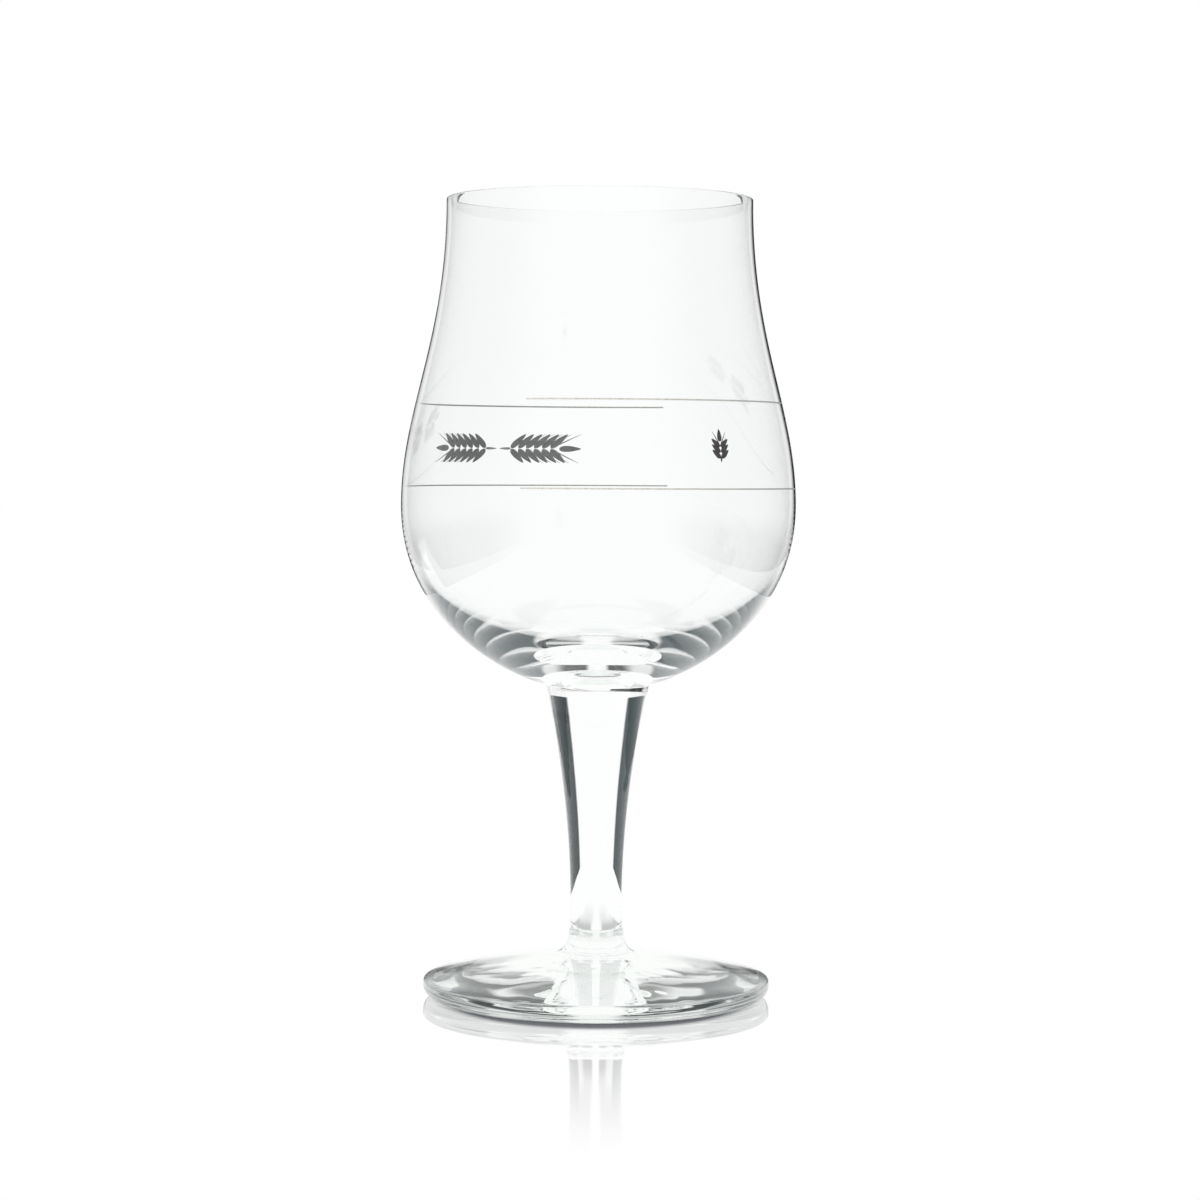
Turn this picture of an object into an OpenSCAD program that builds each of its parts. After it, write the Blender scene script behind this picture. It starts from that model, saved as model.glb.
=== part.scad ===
// Stemmed tulip beer glass, nominal 0.3 l, standing on the table plane z = 0.
// A blown bowl, a pressed stem and a pressed foot are fused end to end, and
// two pairs of fired enamel lines run part of the way round the belly.
// All lengths are in millimetres and all angles in degrees.

/* [Overall] */
// Height of the glass from the table to the top of the rim
glass_h = 170; // [150:1:190]

/* [Bowl] */
// Outer diameter at the widest point of the belly
belly_d = 84; // [76:0.5:96]
// Height of the widest point above the table
belly_z = 105; // [98:0.5:112]
// Height of the bowl's underside on the axis
bowl_base_z = 64.5; // [58:0.5:72]
// Outer diameter just below the rim
rim_d = 65; // [56:0.5:74]
// Wall thickness at the rim
rim_wall = 0.65; // [0.6:0.05:1.6]
// Wall thickness at the belly
belly_wall = 0.7; // [0.65:0.05:1.8]
// Thickness of the solid glass under the inside of the bowl
base_glass = 7; // [5:0.5:14]
// How much higher the inside is widest than the outside
inner_rise = 1; // [0:0.5:3]

/* [Bowl curves] */
// How flat the underside leaves the axis, as a share of the belly radius
underside_flatness = 0.287; // [0.2:0.01:0.4]
// How upright the lower side meets the belly, as a share of that height
flank_fullness = 0.715; // [0.6:0.01:0.8]
// How long the belly stays upright above its widest point, as a share of the height to the rim
belly_fullness = 0.32; // [0.25:0.01:0.45]
// How long the mouth stays upright below the rim, as a share of the same height
mouth_fullness = 0.47; // [0.35:0.01:0.55]
// How flat the inside leaves the axis, as a share of its belly radius
floor_flatness = 0.45; // [0.4:0.01:0.75]
// How upright the inside meets its belly, as a share of that height
inner_fullness = 0.74; // [0.7:0.01:0.9]

/* [Stem] */
// Diameter where the stem is fused to the bowl
stem_top_d = 22; // [16:0.5:28]
// Diameter at the waist, the thinnest place
waist_d = 11.1; // [9:0.1:14]
// Height of the waist above the table
waist_z = 19.5; // [17:0.5:26]
// Diameter where the stem is fused to the foot
stem_base_d = 17; // [15:0.5:22]
// Taper of the stem just under the bowl, measured from the upright
stem_top_taper = 11.5; // [6:0.5:16]
// How long that taper is held, as a share of the height from waist to bowl
taper_hold = 0.22; // [0.1:0.01:0.35]
// How long the stem stays upright above the waist, as a share of the same height
waist_hold = 0.435; // [0.3:0.01:0.55]
// How long the stem stays upright below the waist, as a share of the height down to the foot
fillet_hold = 0.7; // [0.5:0.01:0.8]
// How far the fillet runs out along the foot, as a share of its own width
fillet_runout = 0.7; // [0.4:0.05:0.9]

/* [Foot] */
// Outer diameter of the foot
foot_d = 74; // [64:0.5:84]
// Height of the flat crown that carries the stem
crown_z = 9.5; // [7:0.5:13]
// Height of the foot's edge
edge_z = 4; // [3.4:0.1:6]
// Radius of the edge's upper corner
edge_top_r = 0.6; // [0.4:0.1:1.2]
// Radius of the edge's lower corner
edge_bottom_r = 2.8; // [0.6:0.1:2.8]
// Slope of the dome beside the stem
dome_top_slope = 6; // [2:0.5:9]
// Slope of the dome at the edge
dome_edge_slope = 14; // [10:0.5:20]
// Width of the flat ring that the glass stands on
ring_w = 1.7; // [1:0.1:6]
// Height of the hollow under the foot on the axis
hollow_rise = 3; // [1:0.1:5]
// How far the hollow stays low beside the ring, as a share of its radius
ring_hold = 0.3; // [0.2:0.01:0.6]
// How far the hollow stays level round the axis, as a share of its radius
hollow_hold = 0.4; // [0.2:0.01:0.6]

/* [Printed lines] */
// Height of the lower line's middle above the widest point of the belly
lower_line_rise = 3.8; // [2:0.1:8]
// Distance between the middles of the two lines, measured upright
line_spacing = 18; // [10:0.5:30]
// Width of a line
line_w = 0.3; // [0.2:0.05:1]
// Thickness of the fired enamel
ink_t = 0.05; // [0.03:0.01:0.1]
// Direction of the front lines' left end, where -90 is straight to the front
line_start = -112; // [-180:1:0]
// Part of the circle that each line runs round
line_sweep = 112; // [20:1:170]

/* [Hidden] */

$fn = 128;
curve_steps = 22;
joint_steps = 8;
fillet_steps = 12;
corner_steps = 6;
rim_steps = 10;
bisections = 40;

glass = [0.87, 0.93, 0.92, 0.4];
enamel = [0.20, 0.24, 0.25];

// A cubic curve through p[0] and p[3] with p[1] and p[2] as its handles
function bezier(p, t) =
    pow(1 - t, 3) * p[0] + 3 * pow(1 - t, 2) * t * p[1]
    + 3 * (1 - t) * t * t * p[2] + pow(t, 3) * p[3];

// Points of that curve from parameter a to parameter b, without the first one
function onward(p, a, b, n) = [for (i = [1:n]) bezier(p, a + (b - a) * i / n)];

// Parameter at which coordinate k of a curve that only rises reaches v
function reach(p, k, v, lo = 0, hi = 1, n = bisections) =
    let (m = (lo + hi) / 2)
    n == 0 ? m : bezier(p, m)[k] < v ? reach(p, k, v, m, hi, n - 1) : reach(p, k, v, lo, m, n - 1);

// Points of a circular arc from angle a to angle b, without the first one
function arc(centre, r, a, b, n) =
    [for (i = [1:n]) let (q = a + (b - a) * i / n) centre + r * [cos(q), sin(q)]];

// A step of the given length down a slope, outwards from the axis
function downhill(slope, length) = length * [cos(slope), -sin(slope)];

// The unit normal of a profile segment from p up to q, pointing away from the axis
function outward(p, q) = let (d = (q - p) / norm(q - p)) [d[1], -d[0]];

// Bowl, outside: the underside up to the belly, then the belly up to the rim
belly_r = belly_d / 2;
rim_r = rim_d / 2;
crest_r = rim_wall / 2;
crest_z = glass_h - crest_r;
flank_h = belly_z - bowl_base_z;
mouth_h = crest_z - belly_z;
lower_side = [
    [0, bowl_base_z],
    [underside_flatness * belly_r, bowl_base_z],
    [belly_r, belly_z - flank_fullness * flank_h],
    [belly_r, belly_z]
];
upper_side = [
    [belly_r, belly_z],
    [belly_r, belly_z + belly_fullness * mouth_h],
    [rim_r, crest_z - mouth_fullness * mouth_h],
    [rim_r, crest_z]
];

// Bowl, inside: the same two curves moved in by the wall. The first handle of the upper one
// gives back twice the rise, which keeps the wall even from the belly to the rim.
inner_r = belly_r - belly_wall;
mouth_r = rim_r - rim_wall;
floor_z = bowl_base_z + base_glass;
inner_belly_z = belly_z + inner_rise;
inner_lower = [
    [0, floor_z],
    [floor_flatness * inner_r, floor_z],
    [inner_r, inner_belly_z - inner_fullness * (inner_belly_z - floor_z)],
    [inner_r, inner_belly_z]
];
inner_upper = [
    [inner_r, inner_belly_z],
    [inner_r, inner_belly_z + belly_fullness * mouth_h - 2 * inner_rise],
    [mouth_r, crest_z - mouth_fullness * mouth_h],
    [mouth_r, crest_z]
];

// Printed lines: the parameters of the bowl's upper side at the edges of each line
lower_line_z = belly_z + lower_line_rise;
upper_line_z = lower_line_z + line_spacing;
function line_edges(z) = [reach(upper_side, 1, z - line_w / 2), reach(upper_side, 1, z + line_w / 2)];
lower_edges = line_edges(lower_line_z);
upper_edges = line_edges(upper_line_z);

// Joint of bowl and stem: the part of the underside that the stem's top covers
joint_t = reach(lower_side, 0, stem_top_d / 2);
joint_face = concat([lower_side[0]], onward(lower_side, 0, joint_t, joint_steps));
joint_edge = joint_face[joint_steps];

// Stem: a trumpet taper down to the waist, then a fillet out to the foot
waist_r = waist_d / 2;
stem_base_r = stem_base_d / 2;
taper_h = joint_edge[1] - waist_z;
fillet_w = stem_base_r - waist_r;
trumpet = [
    joint_edge,
    joint_edge - taper_hold * taper_h * [tan(stem_top_taper), 1],
    [waist_r, waist_z + waist_hold * taper_h],
    [waist_r, waist_z]
];
fillet = [
    [waist_r, waist_z],
    [waist_r, waist_z - fillet_hold * (waist_z - crown_z)],
    [stem_base_r, crown_z] - downhill(dome_top_slope, fillet_runout * fillet_w),
    [stem_base_r, crown_z]
];

// Foot: the dome's lower end runs smoothly into the rounded edge, and the hollow into the ring
foot_r = foot_d / 2;
ring_inner_r = foot_r - edge_bottom_r - ring_w;
top_corner = [foot_r - edge_top_r, edge_z - edge_top_r];
bottom_corner = [foot_r - edge_bottom_r, edge_bottom_r];
dome_end = top_corner + edge_top_r * [sin(dome_edge_slope), cos(dome_edge_slope)];
dome_handle = (dome_end[0] - stem_base_r) / 3;
dome = [
    [stem_base_r, crown_z],
    [stem_base_r, crown_z] + downhill(dome_top_slope, dome_handle),
    dome_end - downhill(dome_edge_slope, dome_handle),
    dome_end
];
hollow = [
    [ring_inner_r, 0],
    [(1 - ring_hold) * ring_inner_r, 0],
    [hollow_hold * ring_inner_r, hollow_rise],
    [0, hollow_rise]
];

module bowl() {
    color(glass)
        rotate_extrude()
            polygon(concat(
                joint_face,
                onward(lower_side, joint_t, 1, curve_steps),
                onward(upper_side, 0, lower_edges[0], 2),
                onward(upper_side, lower_edges[0], lower_edges[1], 1),
                onward(upper_side, lower_edges[1], upper_edges[0], joint_steps),
                onward(upper_side, upper_edges[0], upper_edges[1], 1),
                onward(upper_side, upper_edges[1], 1, curve_steps),
                arc([rim_r - crest_r, crest_z], crest_r, 0, 180, rim_steps),
                onward(inner_upper, 1, 0, curve_steps),
                onward(inner_lower, 1, 0, curve_steps)
            ));
}

module stem() {
    color(glass)
        rotate_extrude()
            polygon(concat(
                [[0, crown_z]],
                joint_face,
                onward(trumpet, 0, 1, curve_steps),
                onward(fillet, 0, 1, fillet_steps)
            ));
}

module foot() {
    color(glass)
        rotate_extrude()
            polygon(concat(
                [[0, crown_z], [stem_base_r, crown_z]],
                onward(dome, 0, 1, curve_steps),
                arc(top_corner, edge_top_r, 90 - dome_edge_slope, 0, corner_steps),
                [[foot_r, edge_bottom_r]],
                arc(bottom_corner, edge_bottom_r, 0, -90, corner_steps),
                [hollow[0]],
                onward(hollow, 0, 1, curve_steps)
            ));
}

// One enamel line on the bowl's outside, between the two given curve parameters
module line(edges, start) {
    low = bezier(upper_side, edges[0]);
    high = bezier(upper_side, edges[1]);
    raised = ink_t * outward(low, high);
    color(enamel)
        rotate(start)
            rotate_extrude(angle = line_sweep)
                polygon([low, low + raised, high + raised, high]);
}

module front_upper_line() {
    line(upper_edges, line_start);
}

module front_lower_line() {
    line(lower_edges, line_start);
}

module back_upper_line() {
    line(upper_edges, line_start + 180);
}

module back_lower_line() {
    line(lower_edges, line_start + 180);
}

bowl();
stem();
foot();
front_upper_line();
front_lower_line();
back_upper_line();
back_lower_line();
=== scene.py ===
# %% [markdown]
# # A stemmed tulip beer glass
# Clear glass has no colour of its own to paint. What we see is the room, bent
# by the shape of the glass, so this lesson spends its effort on exact profiles,
# on a studio that gives the glass dark edges, and on the thin fired print.
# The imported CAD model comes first, because every piece has to sit where it does.

# %% Load the frame
import math

import bpy
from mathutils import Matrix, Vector


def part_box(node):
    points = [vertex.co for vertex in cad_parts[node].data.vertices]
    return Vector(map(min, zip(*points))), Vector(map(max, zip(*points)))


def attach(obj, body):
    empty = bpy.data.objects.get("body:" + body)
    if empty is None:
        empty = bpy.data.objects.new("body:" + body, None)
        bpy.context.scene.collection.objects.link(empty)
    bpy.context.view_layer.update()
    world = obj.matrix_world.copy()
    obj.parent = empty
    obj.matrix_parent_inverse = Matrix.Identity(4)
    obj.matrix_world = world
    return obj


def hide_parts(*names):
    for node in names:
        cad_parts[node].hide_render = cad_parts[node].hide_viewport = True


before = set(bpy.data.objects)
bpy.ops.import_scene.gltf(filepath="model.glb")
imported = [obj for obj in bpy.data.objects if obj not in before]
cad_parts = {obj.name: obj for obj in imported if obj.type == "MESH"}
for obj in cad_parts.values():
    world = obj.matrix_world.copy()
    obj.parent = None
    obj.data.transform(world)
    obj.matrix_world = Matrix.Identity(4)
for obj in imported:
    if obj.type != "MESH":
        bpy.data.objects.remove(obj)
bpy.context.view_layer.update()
print("CAD nodes:", sorted(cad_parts))

# %% [markdown]
# ## Sizes
# The outer sizes are read from the CAD nodes, so the looks can never drift away
# from the solids. A box can't tell how a curve swells between its ends, so the
# shape of each curve is named here, with the same values as the CAD source.

# %% Sizes from the frame, and the shape of the curves
MM = 0.001
bowl_low, bowl_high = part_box("bowl")
stem_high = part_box("stem")[1]
foot_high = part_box("foot")[1]

glass_h = bowl_high.z
belly_r = 42 * MM
bowl_base_z = bowl_low.z
joint_r = stem_high.x
foot_r = foot_high.x
crown_z = foot_high.z

belly_z = 105 * MM
rim_r = 32.5 * MM
rim_wall = 0.65 * MM
belly_wall = 0.7 * MM
base_glass = 7 * MM
inner_rise = 1 * MM
underside_flatness = 0.287
flank_fullness = 0.715
belly_fullness = 0.32
mouth_fullness = 0.47
floor_flatness = 0.45
inner_fullness = 0.74

waist_r = 5.55 * MM
waist_z = 19.5 * MM
stem_base_r = 8.5 * MM
stem_top_taper = math.radians(11.5)
taper_hold = 0.22
waist_hold = 0.435
fillet_hold = 0.7
fillet_runout = 0.7

edge_z = 4 * MM
edge_top_r = 0.6 * MM
edge_bottom_r = 2.8 * MM
dome_top_slope = math.radians(6)
dome_edge_slope = math.radians(14)
ring_w = 1.7 * MM
hollow_rise = 3 * MM
ring_hold = 0.3
hollow_hold = 0.4

lower_line_z = belly_z + 3.8 * MM
upper_line_z = lower_line_z + 18 * MM
line_w = 0.3 * MM
ink_t = 0.05 * MM
line_start = math.radians(-112)
line_sweep = math.radians(112)
print(f"glass {glass_h / MM:.1f} mm high")
print(f"belly {2 * belly_r / MM:.1f} mm and foot {2 * foot_r / MM:.1f} mm across")

# %% [markdown]
# ## Drawing a profile
# A glass is round, so half of its section says everything. The section could be
# a long list of points, but a handful of cubic curves is shorter, smoother and
# easy to change. Each run of the profile is four points: start, two handles, end.


# %% Curve helpers
def at(run, t):
    """The point of a cubic run at parameter t."""
    a, b, c, d = run
    s = 1 - t
    return s**3 * a + 3 * s * s * t * b + 3 * s * t * t * c + t**3 * d


def split(run, t):
    """The two halves of a cubic run, cut at parameter t."""
    a, b, c, d = run
    ab, bc, cd = a.lerp(b, t), b.lerp(c, t), c.lerp(d, t)
    abc, bcd = ab.lerp(bc, t), bc.lerp(cd, t)
    cut = abc.lerp(bcd, t)
    return (a, ab, abc, cut), (cut, bcd, cd, d)


def reach(run, axis, value):
    """The parameter at which one coordinate of a rising run reaches a value."""
    low, high = 0.0, 1.0
    for _ in range(40):
        middle = (low + high) / 2
        if at(run, middle)[axis] < value:
            low = middle
        else:
            high = middle
    return low


def straight(start, end):
    """A straight run."""
    return start, start.lerp(end, 1 / 3), start.lerp(end, 2 / 3), end


def arc(centre, radius, start_angle, end_angle):
    """A run that follows a circular arc of up to a quarter turn."""
    reach_out = 4 / 3 * math.tan((end_angle - start_angle) / 4) * radius

    def on(angle):
        return centre + radius * Vector((math.cos(angle), math.sin(angle)))

    def along(angle):
        return reach_out * Vector((-math.sin(angle), math.cos(angle)))

    start, end = on(start_angle), on(end_angle)
    return start, start + along(start_angle), end - along(end_angle), end


def downhill(slope, length):
    """A step outwards and down a slope."""
    return length * Vector((math.cos(slope), -math.sin(slope)))


# %% [markdown]
# ## The profiles
# The bowl is a double S: flat under the bottom, full at the belly, drawn in to
# the mouth. Its inside is a second curve of the same kind, and the difference
# between the two is the wall, thin above and swelling to a lens of solid glass
# over the stem. Stem and foot follow in the same way. At each joint two pieces
# share an edge, and the hidden faces of the stem reach a hair into its
# neighbours, because light can't tell two faces in one place apart. The press
# leaves fine ripples round the stem's lower end, which are part of its profile.
# The number beside each run is the count of straight steps that draw it.

# %% Profile of the bowl
crest_r = rim_wall / 2
crest_z = glass_h - crest_r
flank_h = belly_z - bowl_base_z
mouth_h = crest_z - belly_z
lower_side = (
    Vector((0, bowl_base_z)),
    Vector((underside_flatness * belly_r, bowl_base_z)),
    Vector((belly_r, belly_z - flank_fullness * flank_h)),
    Vector((belly_r, belly_z)),
)
upper_side = (
    Vector((belly_r, belly_z)),
    Vector((belly_r, belly_z + belly_fullness * mouth_h)),
    Vector((rim_r, crest_z - mouth_fullness * mouth_h)),
    Vector((rim_r, crest_z)),
)
inner_r = belly_r - belly_wall
mouth_r = rim_r - rim_wall
floor_z = bowl_base_z + base_glass
inner_belly_z = belly_z + inner_rise
inner_upper = (
    Vector((mouth_r, crest_z)),
    Vector((mouth_r, crest_z - mouth_fullness * mouth_h)),
    Vector((inner_r, inner_belly_z + belly_fullness * mouth_h - 2 * inner_rise)),
    Vector((inner_r, inner_belly_z)),
)
inner_lower = (
    Vector((inner_r, inner_belly_z)),
    Vector((inner_r, inner_belly_z - inner_fullness * (inner_belly_z - floor_z))),
    Vector((floor_flatness * inner_r, floor_z)),
    Vector((0, floor_z)),
)
joint_face, free_side = split(lower_side, reach(lower_side, 0, joint_r))
joint_edge = joint_face[3]
crest = Vector((rim_r - crest_r, crest_z))
bowl_profile = [
    (joint_face, 12),
    (free_side, 56),
    (upper_side, 56),
    (arc(crest, crest_r, 0, math.pi / 2), 8),
    (arc(crest, crest_r, math.pi / 2, math.pi), 8),
    (inner_upper, 56),
    (inner_lower, 56),
]

# %% Profile of the stem
OVERLAP = 0.02 * MM
RIPPLES = 9
RIPPLE_HEIGHT = 0.012 * MM
RIPPLE_START = 0.3


def sunk(run, depth):
    """A run that starts at the axis, with its start pushed into the piece above."""
    rise = Vector((0, depth))
    return run[0] + rise, run[1] + rise, run[2], run[3]


taper_h = joint_edge.y - waist_z
waist = Vector((waist_r, waist_z))
crown_edge = Vector((stem_base_r, crown_z))
trumpet = (
    joint_edge,
    joint_edge - taper_hold * taper_h * Vector((math.tan(stem_top_taper), 1)),
    Vector((waist_r, waist_z + waist_hold * taper_h)),
    waist,
)
fillet = (
    waist,
    Vector((waist_r, waist_z - fillet_hold * (waist_z - crown_z))),
    crown_edge - downhill(dome_top_slope, fillet_runout * (stem_base_r - waist_r)),
    crown_edge,
)


def rippled(run, count, height):
    """A run cut into equal steps, each of which swells a little to the outside."""
    pieces = []
    for left in range(count, 0, -1):
        (a, b, c, d), run = split(run, 1 / left)
        swell = height * Vector((a.y - d.y, d.x - a.x)).normalized()
        pieces.append((a, b + swell, c + swell, d))
    return pieces


smooth_part, worked_part = split(fillet, RIPPLE_START)
stem_profile = [
    (sunk(joint_face, OVERLAP), 12),
    (trumpet, 64),
    (smooth_part, 12),
    *((ripple, 8) for ripple in rippled(worked_part, RIPPLES, RIPPLE_HEIGHT)),
    (straight(crown_edge, Vector((0, crown_z - OVERLAP))), 4),
]

# %% Profile of the foot
top_corner = Vector((foot_r - edge_top_r, edge_z - edge_top_r))
bottom_corner = Vector((foot_r - edge_bottom_r, edge_bottom_r))
edge_normal = Vector((math.sin(dome_edge_slope), math.cos(dome_edge_slope)))
dome_end = top_corner + edge_top_r * edge_normal
dome_handle = (dome_end.x - stem_base_r) / 3
dome = (
    crown_edge,
    crown_edge + downhill(dome_top_slope, dome_handle),
    dome_end - downhill(dome_edge_slope, dome_handle),
    dome_end,
)
ring_edge = Vector((bottom_corner.x - ring_w, 0))
hollow = (
    ring_edge,
    Vector(((1 - ring_hold) * ring_edge.x, 0)),
    Vector((hollow_hold * ring_edge.x, hollow_rise)),
    Vector((0, hollow_rise)),
)
foot_profile = [
    (straight(Vector((0, crown_z)), crown_edge), 4),
    (dome, 48),
    (arc(top_corner, edge_top_r, math.pi / 2 - dome_edge_slope, 0), 10),
    (straight(Vector((foot_r, top_corner.y)), Vector((foot_r, edge_bottom_r))), 4),
    (arc(bottom_corner, edge_bottom_r, 0, -math.pi / 2), 12),
    (straight(Vector((bottom_corner.x, 0)), ring_edge), 6),
    (hollow, 40),
]
print("profile runs:", len(bowl_profile), len(stem_profile), len(foot_profile))

# %% [markdown]
# ## Turning a profile into a solid
# By hand one would draw the runs as Bezier curves, join them, convert them to a
# mesh and use Spin. That is what happens here. Spin leaves double points at the
# axis and at the seam, so they are merged, and then the normals are turned
# outwards, which refraction depends on.

# %% Lathe helpers
LATHE_STEPS = 240
MERGE = 2e-7
SMOOTH_BELOW = math.radians(30)


def deselect_all():
    """Leaves nothing selected, because operators act on all that is."""
    if bpy.context.mode != "OBJECT":
        bpy.ops.object.mode_set(mode="OBJECT")
    bpy.ops.object.select_all(action="DESELECT")


def draw_run(run, steps):
    """Draws one cubic run in the XZ plane as a Bezier curve."""
    bpy.ops.curve.primitive_bezier_curve_add()
    curve = bpy.context.object
    curve.data.resolution_u = steps
    start, start_handle, end_handle, end = (Vector((p.x, 0, p.y)) for p in run)
    first, last = curve.data.splines[0].bezier_points
    for point in (first, last):
        point.handle_left_type = point.handle_right_type = "FREE"
    first.co, first.handle_left, first.handle_right = start, start, start_handle
    last.co, last.handle_left, last.handle_right = end, end_handle, end
    return curve


def lathe(name, profile, angle=2 * math.pi, steps=LATHE_STEPS):
    """Draws a profile, spins it about Z and closes it to a smooth solid."""
    deselect_all()
    runs = [draw_run(run, count) for run, count in profile]
    for curve in runs:
        curve.select_set(True)
    bpy.context.view_layer.objects.active = runs[0]
    bpy.ops.object.join()
    bpy.ops.object.convert(target="MESH")
    solid = bpy.context.object
    solid.name = solid.data.name = name
    bpy.ops.object.mode_set(mode="EDIT")
    bpy.ops.mesh.select_all(action="SELECT")
    bpy.ops.mesh.remove_doubles(threshold=MERGE)
    bpy.ops.mesh.spin(steps=steps, angle=angle, center=(0, 0, 0), axis=(0, 0, 1))
    bpy.ops.mesh.select_all(action="SELECT")
    bpy.ops.mesh.remove_doubles(threshold=MERGE)
    bpy.ops.mesh.normals_make_consistent(inside=False)
    bpy.ops.object.mode_set(mode="OBJECT")
    bpy.ops.object.shade_smooth_by_angle(angle=SMOOTH_BELOW)
    return solid


# %% [markdown]
# ## Node helpers
# Materials and the studio are both node trees. Three short helpers keep them
# readable: one to set or link an input, one for sums and one for soft steps.

# %% Node helpers
def wire(tree, socket, value):
    """Sets an input to a number or vector, or links it to an output."""
    if isinstance(value, bpy.types.NodeSocket):
        tree.links.new(value, socket)
    else:
        socket.default_value = value


def calc(tree, operation, *values):
    """A Math node on outputs or numbers."""
    node = tree.nodes.new("ShaderNodeMath")
    node.operation = operation
    for socket, value in zip(node.inputs, values):
        wire(tree, socket, value)
    return node.outputs[0]


def ramp(tree, value, low, high, start=0.0, end=1.0):
    """Goes smoothly from start at low to end at high."""
    node = tree.nodes.new("ShaderNodeMapRange")
    node.interpolation_type = "SMOOTHSTEP"
    names = ("Value", "From Min", "From Max", "To Min", "To Max")
    for name, setting in zip(names, (value, low, high, start, end)):
        wire(tree, node.inputs[name], setting)
    return node.outputs["Result"]


# %% [markdown]
# ## Glass
# A Principled shader with full transmission is glass. Soda-lime glass bends
# light with an index of 1.52 and has a faint green-grey cast. No wall is quite
# even: a slow noise tilts the surface a little and breaks up what the glass
# mirrors. It is faint on the blown bowl, stronger on the pressed stem, and on the
# foot it runs from the middle outwards, as the glass did in its mould. Where two
# pieces are fused there is no surface to see, so those hidden faces get a second
# material of index 1, through which light runs straight on.

# %% Glass materials
GLASS_INDEX = 1.52
THIN_GLASS = (0.984, 0.993, 0.989, 1)
THICK_GLASS = (0.950, 0.985, 0.957, 1)
FLOW_R = 25 * MM


def new_material(name):
    """A material with an empty Principled shader, and that shader."""
    material = bpy.data.materials.new(name)
    material.use_nodes = True
    return material, material.node_tree.nodes["Principled BSDF"]


def as_it_is(tree, place):
    """Leaves a place as it is, for unevenness that lies any way."""
    return place


def by_direction(tree, place):
    """Where a place's direction from the axis meets a circle, for radial unevenness."""
    flat = tree.nodes.new("ShaderNodeVectorMath")
    flat.operation = "MULTIPLY"
    wire(tree, flat.inputs[0], place)
    flat.inputs[1].default_value = (1, 1, 0)
    on_circle = tree.nodes.new("ShaderNodeVectorMath")
    on_circle.operation = "NORMALIZE"
    wire(tree, on_circle.inputs[0], flat.outputs[0])
    outwards = tree.nodes.new("ShaderNodeVectorMath")
    outwards.operation = "SCALE"
    wire(tree, outwards.inputs[0], on_circle.outputs[0])
    outwards.inputs["Scale"].default_value = FLOW_R
    return outwards.outputs[0]


def clear_glass(name, tint, wave_length, wave_height, layout):
    """Fire-polished soda-lime glass with a faintly uneven surface."""
    material, shader = new_material(name)
    shader.inputs["Base Color"].default_value = tint
    shader.inputs["Roughness"].default_value = 0
    shader.inputs["IOR"].default_value = GLASS_INDEX
    shader.inputs["Transmission Weight"].default_value = 1
    tree = material.node_tree
    unevenness = tree.nodes.new("ShaderNodeTexNoise")
    place = tree.nodes.new("ShaderNodeTexCoord").outputs["Object"]
    wire(tree, unevenness.inputs["Vector"], layout(tree, place))
    unevenness.inputs["Scale"].default_value = 1 / wave_length
    unevenness.inputs["Detail"].default_value = 1
    tilt = tree.nodes.new("ShaderNodeBump")
    tilt.inputs["Distance"].default_value = wave_height
    wire(tree, tilt.inputs["Height"], unevenness.outputs[0])
    wire(tree, shader.inputs["Normal"], tilt.outputs["Normal"])
    return material


def fused_joint():
    """The hidden faces of a fused joint, where light runs straight on."""
    material, shader = new_material("fused_joint")
    shader.inputs["Base Color"].default_value = (1, 1, 1, 1)
    shader.inputs["Roughness"].default_value = 0
    shader.inputs["IOR"].default_value = 1
    shader.inputs["Transmission Weight"].default_value = 1
    return material


blown_glass = clear_glass("blown_glass", THIN_GLASS, 14 * MM, 0.015 * MM, as_it_is)
pressed_glass = clear_glass("pressed_glass", THIN_GLASS, 9 * MM, 0.06 * MM, as_it_is)
foot_glass = clear_glass("foot_glass", THICK_GLASS, 9 * MM, 0.08 * MM, by_direction)
joint = fused_joint()

# %% [markdown]
# ## Bowl, stem and foot
# Each solid is turned from its profile and takes the place of its CAD node. The
# faces of the two joints are found by where they lie.

# %% Glass piece helpers
FLAT_FACE = 0.8


def dress_glass(solid, node, glass, is_joint):
    """Gives a glass piece its materials and its place in the frame."""
    solid.data.materials.append(glass)
    solid.data.materials.append(joint)
    for face in solid.data.polygons:
        face.material_index = int(is_joint(face))
    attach(solid, "root")
    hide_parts(node)
    print(solid.name, len(solid.data.polygons), "faces")
    return solid


def radius_of(face):
    """How far a face's middle lies from the axis."""
    return math.hypot(face.center.x, face.center.y)


def on_bowl_joint(face):
    """Whether a face of the bowl lies in its joint with the stem."""
    return radius_of(face) < joint_r and face.center.z < joint_edge.y


def on_stem_joint(face):
    """Whether a face of the stem is part of one of its two ends."""
    at_an_end = face.center.z > bowl_base_z or face.center.z < crown_z + MERGE
    return abs(face.normal.z) > FLAT_FACE and at_an_end


def on_foot_joint(face):
    """Whether a face of the foot lies in its joint with the stem."""
    return radius_of(face) < stem_base_r and face.center.z > crown_z - MERGE


# %% Turn the three glass pieces
bowl = dress_glass(lathe("tulip_bowl", bowl_profile), "bowl", blown_glass, on_bowl_joint)
dress_glass(lathe("trumpet_stem", stem_profile), "stem", pressed_glass, on_stem_joint)
dress_glass(lathe("domed_foot", foot_profile), "foot", foot_glass, on_foot_joint)

# %% [markdown]
# ## Printed lines
# Two thin enamel lines run part of the way round the belly on each side. They
# could be painted by the glass material, but fired enamel is a layer of its own
# with an edge that catches light, so each one is a thin strip. It is sunk a
# hair into the glass, because real enamel is melted onto it. The ink runs from
# slate to tan towards the inner end of each line.

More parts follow.
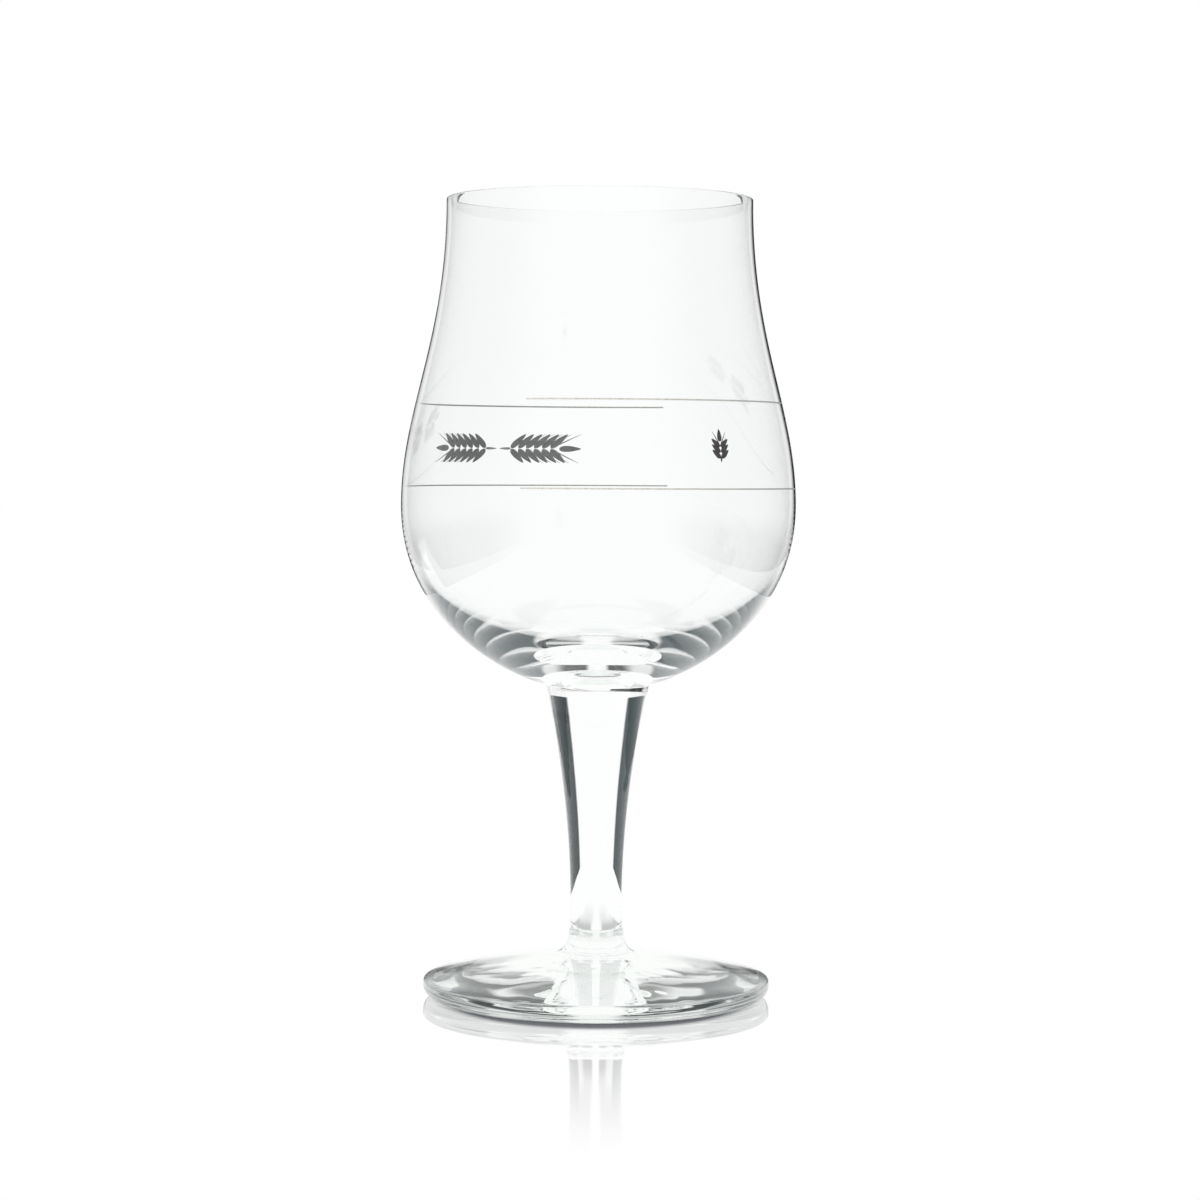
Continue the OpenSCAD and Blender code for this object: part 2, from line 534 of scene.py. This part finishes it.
# %% Enamel
SINK = 0.012 * MM
MOTTLE_LENGTH = 0.35 * MM
MOTTLE_RELIEF = 0.01 * MM
MOTTLE_RANGE = (0.3, 0.7)
MOTTLE_VALUE = (0.8, 1.25)
MOTTLE_ROUGHNESS = (0.25, 0.45)
SLATE = (0.070, 0.085, 0.090, 1)
TAN = (0.42, 0.36, 0.29, 1)
THIN_SLATE = (0.22, 0.24, 0.24, 1)
THIN_TAN = (0.68, 0.65, 0.58, 1)


def enamel(name, first, second, share):
    """Fired enamel of two colours, with the faint mottling of a screen print.

    The share of the second colour is a number or a function of the node tree."""
    material, shader = new_material(name)
    tree = material.node_tree
    place = tree.nodes.new("ShaderNodeTexCoord").outputs["Object"]
    mottling = tree.nodes.new("ShaderNodeTexNoise")
    wire(tree, mottling.inputs["Vector"], place)
    mottling.inputs["Scale"].default_value = 1 / MOTTLE_LENGTH
    colour = tree.nodes.new("ShaderNodeMix")
    colour.data_type = "RGBA"
    wire(tree, colour.inputs["Factor"], share(tree, place) if callable(share) else share)
    colour.inputs["A"].default_value, colour.inputs["B"].default_value = first, second
    worn = tree.nodes.new("ShaderNodeHueSaturation")
    wire(tree, worn.inputs["Color"], colour.outputs["Result"])
    wire(tree, worn.inputs["Value"], ramp(tree, mottling.outputs[0], *MOTTLE_RANGE, *MOTTLE_VALUE))
    wire(tree, shader.inputs["Base Color"], worn.outputs["Color"])
    roughness = ramp(tree, mottling.outputs[0], *MOTTLE_RANGE, *MOTTLE_ROUGHNESS)
    wire(tree, shader.inputs["Roughness"], roughness)
    relief = tree.nodes.new("ShaderNodeBump")
    relief.inputs["Distance"].default_value = MOTTLE_RELIEF
    wire(tree, relief.inputs["Height"], mottling.outputs[0])
    wire(tree, shader.inputs["Normal"], relief.outputs["Normal"])
    return material


# %% Enamel lines
LINE_STEPS = 120
ALL_TAN, ALL_SLATE = 0.1 * line_sweep, 0.95 * line_sweep


def along_line(tree, place):
    """From 1 at the inner end of a printed line to 0 further round the belly."""
    axes = tree.nodes.new("ShaderNodeSeparateXYZ")
    wire(tree, axes.inputs[0], place)
    angle = calc(tree, "ARCTAN2", axes.outputs["Y"], axes.outputs["X"])
    run = calc(tree, "FLOORED_MODULO", calc(tree, "SUBTRACT", angle, line_start), math.pi)
    return ramp(tree, run, ALL_TAN, ALL_SLATE, 1, 0)


def printed_line(name, node, height, start):
    """One enamel strip on the bowl's outside, centred on a height."""
    low = at(upper_side, reach(upper_side, 1, height - line_w / 2))
    high = at(upper_side, reach(upper_side, 1, height + line_w / 2))
    up = (high - low).normalized()
    out = Vector((up.y, -up.x))
    corners = [low - SINK * out, low + ink_t * out, high + ink_t * out, high - SINK * out]
    deselect_all()
    bpy.ops.mesh.primitive_plane_add(size=1)
    strip = bpy.context.object
    strip.name = strip.data.name = name
    for vertex, corner in zip((0, 1, 3, 2), corners):
        strip.data.vertices[vertex].co = (
            corner.x * math.cos(start),
            corner.x * math.sin(start),
            corner.y,
        )
    bpy.ops.object.mode_set(mode="EDIT")
    bpy.ops.mesh.select_all(action="SELECT")
    bpy.ops.mesh.spin(steps=LINE_STEPS, angle=line_sweep, center=(0, 0, 0), axis=(0, 0, -1))
    bpy.ops.mesh.select_all(action="SELECT")
    bpy.ops.mesh.normals_make_consistent(inside=False)
    bpy.ops.object.mode_set(mode="OBJECT")
    strip.data.materials.append(line_ink)
    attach(strip, "root")
    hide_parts(node)
    return strip


line_ink = enamel("line_enamel", THIN_SLATE, THIN_TAN, along_line)
for side, turn in (("front", 0), ("back", math.pi)):
    printed_line(f"upper_line_{side}", f"{side}_upper_line", upper_line_z, line_start + turn)
    printed_line(f"lower_line_{side}", f"{side}_lower_line", lower_line_z, line_start + turn)
    print("printed lines on the", side)

# %% [markdown]
# ## Printed barley
# A small ear of barley stands on the front of the belly, and two ears lie end to
# end on the back. Each grain is a disc drawn out to a point. A print is laid out
# flat in front of the bowl, as on its screen, Shrinkwrap throws it onto the glass,
# Solidify gives it the thickness of the ink, and it is turned to its place.

# %% Print helpers
PRINT_Y = -60 * MM
FRONT = -math.pi / 2
GRAIN_SIDES = 20
GRAIN_FOOT, GRAIN_TIP = 1.25, 0.5
PAIR_GAP = 0.12


def grain(x, z, length, width, lean):
    """A flat grain that starts at a point of the screen and leans to the right."""
    bpy.ops.mesh.primitive_circle_add(
        vertices=GRAIN_SIDES,
        radius=1,
        fill_type="TRIFAN",
        location=(x, PRINT_Y, z),
        rotation=(math.pi / 2, lean, 0),
    )
    seed = bpy.context.object
    for vertex in seed.data.vertices:
        tip = (vertex.co.y + 1) / 2
        vertex.co.x *= width / 2 * (GRAIN_FOOT + (GRAIN_TIP - GRAIN_FOOT) * tip)
        vertex.co.y = tip * length
    return seed


def ear(x, z, lean, pairs, spacing, length, width, spread):
    """Grains in pairs along a line that leans to the right, with one at its tip."""
    along = Vector((math.sin(lean), math.cos(lean)))
    seeds = []
    for pair in range(pairs):
        foot_of = Vector((x, z)) + pair * spacing * along
        for side in (-1, 1):
            start = foot_of + side * PAIR_GAP * width * Vector((along.y, -along.x))
            seeds.append(grain(start.x, start.y, length, width, lean + side * spread))
    tip = Vector((x, z)) + pairs * spacing * along
    seeds.append(grain(tip.x, tip.y, length, width, lean))
    return seeds


def awns(x, z, lean, pairs, spacing, length, width, spread):
    """The fine bristles of an ear, which stand steeper than its grains."""
    along = Vector((math.sin(lean), math.cos(lean)))
    bristles = []
    for pair in range(pairs):
        start = Vector((x, z)) + (pair + 1) * spacing * along
        for side in (-1, 1):
            bristles.append(grain(start.x, start.y, length, width, lean + side * spread))
    return bristles


def fire_print(name, flat_pieces, azimuth, ink, depth=1.0):
    """Joins the flat pieces of a print and melts them onto the bowl.

    A layer of less depth lies behind one of full depth from either side."""
    deselect_all()
    for flat in flat_pieces:
        flat.select_set(True)
    bpy.context.view_layer.objects.active = flat_pieces[0]
    bpy.ops.object.join()
    bpy.ops.object.transform_apply(location=True, rotation=True, scale=True)
    layer = bpy.context.object
    layer.name = layer.data.name = name
    bpy.ops.object.mode_set(mode="EDIT")
    bpy.ops.mesh.select_all(action="SELECT")
    bpy.ops.mesh.subdivide(number_cuts=2)
    bpy.ops.object.mode_set(mode="OBJECT")
    wrap = layer.modifiers.new("throw onto the glass", "SHRINKWRAP")
    wrap.target = bowl
    wrap.wrap_method = "PROJECT"
    wrap.use_project_y = True
    wrap.use_negative_direction = False
    wrap.use_positive_direction = True
    bpy.ops.object.modifier_apply(modifier=wrap.name)
    thickness = layer.modifiers.new("ink", "SOLIDIFY")
    thickness.thickness = depth * (ink_t + SINK)
    thickness.offset = (ink_t - SINK) / (ink_t + SINK)
    bpy.ops.object.modifier_apply(modifier=thickness.name)
    layer.rotation_euler.z = azimuth - FRONT
    bpy.ops.object.transform_apply(location=False, rotation=True, scale=False)
    layer.data.materials.clear()
    layer.data.materials.append(ink)
    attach(layer, "root")
    print(name, len(layer.data.polygons), "faces")
    return layer


# %% Front ear and back ears
BROWN_BLACK = (0.022, 0.018, 0.014, 1)
front_azimuth = math.radians(-53)
back_azimuth = math.radians(124)
print_z = 117.5 * MM
upright, level = 0.0, math.pi / 2

front_ink = enamel("front_print_enamel", BROWN_BLACK, SLATE, 0.15)
back_ink = enamel("back_print_enamel", SLATE, TAN, 0.06)
pale_ink = enamel("pale_print_enamel", TAN, SLATE, 0.2)

ear_foot = print_z - 2.4 * MM
front_ear = ear(0, ear_foot, upright, pairs=3, spacing=1.1 * MM, length=2.5 * MM,
                width=1.15 * MM, spread=math.radians(50))
front_awns = awns(0, ear_foot, upright, pairs=2, spacing=1.2 * MM, length=3.3 * MM,
                  width=0.2 * MM, spread=math.radians(30))
front_stalk = grain(0, ear_foot + 0.3 * MM, length=1.2 * MM, width=0.45 * MM, lean=math.pi)
front_layer = front_ear + front_awns + [front_stalk]
fire_print("front_barley_ear", front_layer, front_azimuth, front_ink)

gap = 3.4 * MM
ears, bristles = [], []
for facing in (-1, 1):
    ears += ear(facing * gap, print_z, facing * level, pairs=6, spacing=1.9 * MM,
                length=4.6 * MM, width=1.5 * MM, spread=math.radians(42))
    bristles += awns(facing * gap, print_z, facing * level, pairs=5, spacing=1.9 * MM,
                     length=7.2 * MM, width=0.3 * MM, spread=math.radians(28))
    bristles.append(grain(facing * gap, print_z, gap - 0.4 * MM, 0.6 * MM, -facing * level))
fire_print("back_barley_ears", ears, back_azimuth, back_ink)
fire_print("back_barley_awns", bristles, back_azimuth, pale_ink, depth=0.7)

# %% [markdown]
# ## Camera
# The photograph was taken from a little above the belly, looking slightly down. Its
# focal length, horizon and table line are in pixels, and a pixel at the glass has a size.

# %% Camera
FRAME_PX = 1200
FOCAL_PX = 3100
HORIZON_PX = 470
TABLE_PX = 995
CAMERA_ROLL = math.radians(-0.3)
CAMERA_ASIDE = 0.3 * MM
SENSOR_MM = 36
px = 0.2132 * MM
camera_distance = FOCAL_PX * px
pitch = math.atan((FRAME_PX / 2 - HORIZON_PX) / FOCAL_PX)
table_angle = math.atan((TABLE_PX - FRAME_PX / 2) / FOCAL_PX) + pitch
camera_z = camera_distance * math.tan(table_angle)
bpy.ops.object.camera_add(
    location=(CAMERA_ASIDE, -camera_distance, camera_z),
    rotation=(math.pi / 2 - pitch, CAMERA_ROLL, 0),
)
camera = bpy.context.object
camera.data.sensor_width = SENSOR_MM
camera.data.lens = SENSOR_MM * FOCAL_PX / FRAME_PX
camera.data.clip_start = 0.01
bpy.context.scene.camera = camera
print(f"camera {camera_distance:.3f} m away, {camera_z:.3f} m up")

# %% [markdown]
# ## Studio
# Clear glass on white needs something dark beside it, or it can't be seen at all.
# A photographer stands black cards to the left and right, out of the picture, and
# the glass bends their image into its edges. Here the cards are part of the world
# and only light that has met glass sees them, so every view keeps its white
# background. A card has a direction and a size in degrees, as seen from the glass.

# %% Light paths
CYCLES_BOUNCES = 200
render_paths = bpy.context.scene.cycles
render_paths.max_bounces = CYCLES_BOUNCES
render_paths.glossy_bounces = CYCLES_BOUNCES
render_paths.transmission_bounces = CYCLES_BOUNCES
print("light paths of up to", CYCLES_BOUNCES, "bounces")


def light_has_met_glass(tree):
    """1 for light that was bent or mirrored on its way, 0 for plain light."""
    path = tree.nodes.new("ShaderNodeLightPath")
    return calc(tree, "MAXIMUM", path.outputs["Is Glossy Ray"], path.outputs["Is Transmission Ray"])


# %% [markdown]
# ## Cards
# Light that was only bent draws the dark bands of the stem and of the bowl's shoulders.
# Light that was mirrored draws the thin lines at the edges. So there are cards for each
# kind, told apart by how often the light passed a surface or was mirrored by one.

# %% Cards
BLUISH = (0.6, 1.1, 1.2)
NEUTRAL = (1, 1, 1)
RIGHT, LEFT = 1, -1
# Each card: its side, where it starts and ends to that side, its lowest and highest
# elevation, the softness of its start, its end and its top and bottom, all in degrees,
# and how light it is
CARDS = [
    (RIGHT, 28, 104, -32, 24, 1.5, 12, 14, 0.03),
    (LEFT, 28, 70, -32, 24, 1.5, 4, 14, 0.04),
]
# Cards that the surfaces mirror: wide grey ones, narrow dark ones that draw the edges,
# and low dark ones that darken the stem and the underside of the bowl
EDGE_CARDS = [
    (RIGHT, 5, 60, -18, 10, 1.5, 25, 6, 0.72),
    (LEFT, 5, 60, -18, 10, 1.5, 25, 6, 0.75),
    (RIGHT, 5, 20, -18, 10, 1.5, 4, 6, 0.02),
    (LEFT, 5, 16, -18, 10, 1.5, 4, 6, 0.05),
    (RIGHT, 30, 125, -50, -7, 12, 20, 5, 0.02),
    (LEFT, 30, 125, -50, -7, 12, 20, 5, 0.02),
]
# Wide cards for light that was mirrored inside the glass, which shade the thick bottom
SIDE_CARDS = [
    (RIGHT, 30, 125, -20, 38, 2, 25, 10, 0.05),
    (LEFT, 30, 125, -20, 38, 2, 25, 10, 0.05),
    (RIGHT, 8, 60, 12, 60, 2, 20, 3, 0.02),
    (LEFT, 8, 60, 12, 60, 2, 20, 3, 0.02),
]
# Gaps in the cards, which leave the view through the glass clear from other sides
WINDOWS = [
    (LEFT, 38, 52, -60, -13, 1.5, 1.5, 1.5),
]
print("cards:", len(CARDS) + len(EDGE_CARDS) + len(SIDE_CARDS))

# %% World with dark cards
ONCE = 0.5
MOST_PASSES = 3.5


def card_mask(tree, azimuth, elevation, card):
    """1 where a card stands, 0 beside it."""
    side, angles = float(card[0]), [math.radians(angle) for angle in card[1:8]]
    start, end, low, high, soft_start, soft_end, soft_tips = angles
    aside = calc(tree, "MULTIPLY", azimuth, side)
    mask = ramp(tree, aside, start - soft_start, start + soft_start)
    for limit in (
        ramp(tree, aside, end - soft_end, end + soft_end, 1, 0),
        ramp(tree, elevation, low - soft_tips, low + soft_tips),
        ramp(tree, elevation, high - soft_tips, high + soft_tips, 1, 0),
    ):
        mask = calc(tree, "MULTIPLY", mask, limit)
    return mask


def paint_world(cards, edge_cards, side_cards, windows):
    """A white world, with dark cards that only light from the glass can see."""
    world = bpy.data.worlds.new("studio")
    world.use_nodes = True
    tree = world.node_tree
    tree.nodes.clear()
    direction = tree.nodes.new("ShaderNodeSeparateXYZ")
    wire(tree, direction.inputs[0], tree.nodes.new("ShaderNodeTexCoord").outputs["Generated"])
    azimuth = calc(tree, "ARCTAN2", direction.outputs["X"], direction.outputs["Y"])
    elevation = calc(tree, "ARCSINE", direction.outputs["Z"])
    path = tree.nodes.new("ShaderNodeLightPath")
    passes, mirrorings = path.outputs["Transmission Depth"], path.outputs["Glossy Depth"]
    seen = calc(tree, "LESS_THAN", passes, MOST_PASSES)
    scatterings = path.outputs["Diffuse Depth"]
    seen = calc(tree, "MULTIPLY", seen, calc(tree, "LESS_THAN", scatterings, ONCE))
    for window in windows:
        clear = calc(tree, "SUBTRACT", 1.0, card_mask(tree, azimuth, elevation, window))
        seen = calc(tree, "MULTIPLY", seen, clear)
    mirrored = calc(tree, "MULTIPLY", seen, calc(tree, "GREATER_THAN", mirrorings, ONCE))
    entered = calc(tree, "GREATER_THAN", passes, ONCE)
    inside = calc(tree, "MULTIPLY", mirrored, entered)
    bent = calc(tree, "MULTIPLY", seen, calc(tree, "LESS_THAN", mirrorings, ONCE))
    bent = calc(tree, "MULTIPLY", bent, entered)
    shares = [(card, mirrored, NEUTRAL) for card in edge_cards]
    shares += [(card, inside, BLUISH) for card in side_cards]
    shares += [(card, bent, BLUISH) for card in cards]
    colour = None
    for card, share, tint in shares:
        mask = calc(tree, "MULTIPLY", share, card_mask(tree, azimuth, elevation, card))
        paint = tree.nodes.new("ShaderNodeMix")
        paint.data_type = "RGBA"
        wire(tree, paint.inputs["Factor"], mask)
        wire(tree, paint.inputs["A"], colour or (1, 1, 1, 1))
        paint.inputs["B"].default_value = (*(card[8] * part for part in tint), 1)
        colour = paint.outputs["Result"]
    glow = tree.nodes.new("ShaderNodeBackground")
    wire(tree, glow.inputs["Color"], colour)
    output = tree.nodes.new("ShaderNodeOutputWorld")
    wire(tree, output.inputs["Surface"], glow.outputs["Background"])
    bpy.context.scene.world = world


paint_world(CARDS, EDGE_CARDS, SIDE_CARDS, WINDOWS)
print("world:", bpy.context.scene.world.name)

# %% [markdown]
# ## Table
# The glass stands on a glossy white table, which mirrors its foot and carries a
# painted shadow reaching towards the front. To the camera the table is white as far as it can see.
# To the glass it is a white strip, with the cards standing close beside it.

# %% Table
TABLE_R = 8.0
TABLE_SIDES = 128
TABLE_GAP = 0.05 * MM

deselect_all()
bpy.ops.mesh.primitive_circle_add(
    vertices=TABLE_SIDES,
    radius=TABLE_R,
    fill_type="NGON",
    location=(0, 0, -TABLE_GAP),
)
table = bpy.context.object
table.name = table.data.name = "table"
white = bpy.data.materials.new("white_table")
white.use_nodes = True
top = white.node_tree
top.nodes.clear()
table.data.materials.append(white)
print("table", 2 * TABLE_R, "m across")

# %% [markdown]
# ## Painted shade on the table
# The table's own colour is darkened where the foot stands, a little towards the front,
# as a painted shadow, and left white under the hollow middle of the foot. Seen
# through the glass, the table at the foot's left and right is darkened too, as painted shade.

# %% Painted shade on the table
SHADE_SHIFT = 5 * MM
SHADE_NARROWING = 1.1
SHADE_FROM, SHADE_TO = foot_r - 4 * MM, foot_r + 3 * MM
HOLLOW_FROM, HOLLOW_TO = ring_edge.x - 3 * MM, ring_edge.x
ASIDE_FROM, ASIDE_TO = foot_r - 11 * MM, foot_r - 3 * MM
NEAR_TO, FAR_FROM = foot_r + 13 * MM, foot_r + 23 * MM


def distance(x, y):
    """How far a place with these two coordinates is from the middle."""
    squares = calc(top, "ADD", calc(top, "POWER", x, 2.0), calc(top, "POWER", y, 2.0))
    return calc(top, "SQRT", squares)


place = top.nodes.new("ShaderNodeSeparateXYZ")
wire(top, place.inputs[0], top.nodes.new("ShaderNodeTexCoord").outputs["Object"])
path = top.nodes.new("ShaderNodeLightPath")
away = distance(place.outputs["X"], place.outputs["Y"])
across = calc(top, "ABSOLUTE", place.outputs["X"])
# Painted shadow: the table's colour goes dark round the foot, shifted towards the front
shade_x = calc(top, "MULTIPLY", place.outputs["X"], SHADE_NARROWING)
shade_y = calc(top, "ADD", place.outputs["Y"], SHADE_SHIFT)
out_of_painted_shadow = ramp(top, distance(shade_x, shade_y), SHADE_FROM, SHADE_TO)
under_hollow = ramp(top, away, HOLLOW_FROM, HOLLOW_TO, 1, 0)
# Painted shade: seen through the glass, the table at the foot's left and right is darkened
painted_side_shade = calc(
    top,
    "MULTIPLY",
    ramp(top, across, ASIDE_FROM, ASIDE_TO),
    ramp(top, away, NEAR_TO, FAR_FROM, 1, 0),
)
painted_side_shade = calc(top, "MULTIPLY", painted_side_shade, path.outputs["Is Transmission Ray"])
clear_of_painted_shadow = calc(top, "MULTIPLY", out_of_painted_shadow, calc(top, "SUBTRACT", 1.0, painted_side_shade))
print("shade up to", round(SHADE_TO / MM, 1), "mm from the middle")

# %% [markdown]
# ## Surface of the table
# Where the painted shadow lies, the table is matt and takes its dark colour. Where the camera or
# the glass looks at it elsewhere, it shows plain white instead, so that it can't be told from the
# background. A mirror lies over both near the foot.

# %% Surface of the table
STRIP_HALF = 0.17
MIRROR_NEAR, MIRROR_FAR = 0.035, 0.16
MIRROR_SHARE = 0.5
MIRROR_ROUGHNESS = 0.02
MIRROR_SIDE = 6 * MM
WHITE = (1, 1, 1, 1)
WHITE_UNDER, WHITE_TOUCH, WHITE_AWAY = 0.9, 0.05, 0.98
UNDER_TO, TOUCH_FROM = ring_edge.x - 1.5 * MM, ring_edge.x + 1 * MM
# The colour of the painted shadow and painted shade on the table
PAINTED_SHADOW = (0.17, 0.175, 0.20, 1)


def blend(share, first, second):
    """A Mix Shader of two shaders of the table."""
    node = top.nodes.new("ShaderNodeMixShader")
    for socket, value in zip(node.inputs, (share, first, second)):
        wire(top, socket, value)
    return node.outputs[0]


painted_shadow_colour = top.nodes.new("ShaderNodeMix")
painted_shadow_colour.data_type = "RGBA"
wire(top, painted_shadow_colour.inputs["Factor"], calc(top, "MAXIMUM", clear_of_painted_shadow, under_hollow))
painted_shadow_colour.inputs["A"].default_value, painted_shadow_colour.inputs["B"].default_value = PAINTED_SHADOW, WHITE
matt = top.nodes.new("ShaderNodeBsdfDiffuse")
wire(top, matt.inputs["Color"], painted_shadow_colour.outputs["Result"])
plain = top.nodes.new("ShaderNodeEmission")
mirror = top.nodes.new("ShaderNodeBsdfGlossy")
mirror.inputs["Roughness"].default_value = MIRROR_ROUGHNESS
mirror.inputs["Color"].default_value = WHITE
no_table = top.nodes.new("ShaderNodeBsdfTransparent")

met_glass = light_has_met_glass(top)
looked_at = calc(top, "MAXIMUM", path.outputs["Is Camera Ray"], met_glass)
# Little plain white is mixed in near where the foot touches and in the painted shadow, so the
# painted shadow shows
under = ramp(top, away, UNDER_TO, TOUCH_FROM, WHITE_UNDER, WHITE_TOUCH)
beside = calc(top, "MULTIPLY", clear_of_painted_shadow, WHITE_AWAY)
whitening = calc(top, "MULTIPLY", looked_at, calc(top, "MAXIMUM", under, beside))
mirroring = ramp(top, away, MIRROR_NEAR, MIRROR_FAR, MIRROR_SHARE, 0)
for limit in (ramp(top, across, foot_r, foot_r + MIRROR_SIDE, 1, 0), clear_of_painted_shadow):
    mirroring = calc(top, "MULTIPLY", mirroring, limit)
beyond = calc(top, "MULTIPLY", calc(top, "GREATER_THAN", across, STRIP_HALF), met_glass)

surface = blend(whitening, matt.outputs[0], plain.outputs[0])
surface = blend(mirroring, surface, mirror.outputs[0])
surface = blend(beyond, surface, no_table.outputs[0])
wire(top, top.nodes.new("ShaderNodeOutputMaterial").inputs["Surface"], surface)
bpy.context.scene.view_settings.view_transform = "Standard"
print("table strip", 2 * STRIP_HALF, "m wide for the glass")
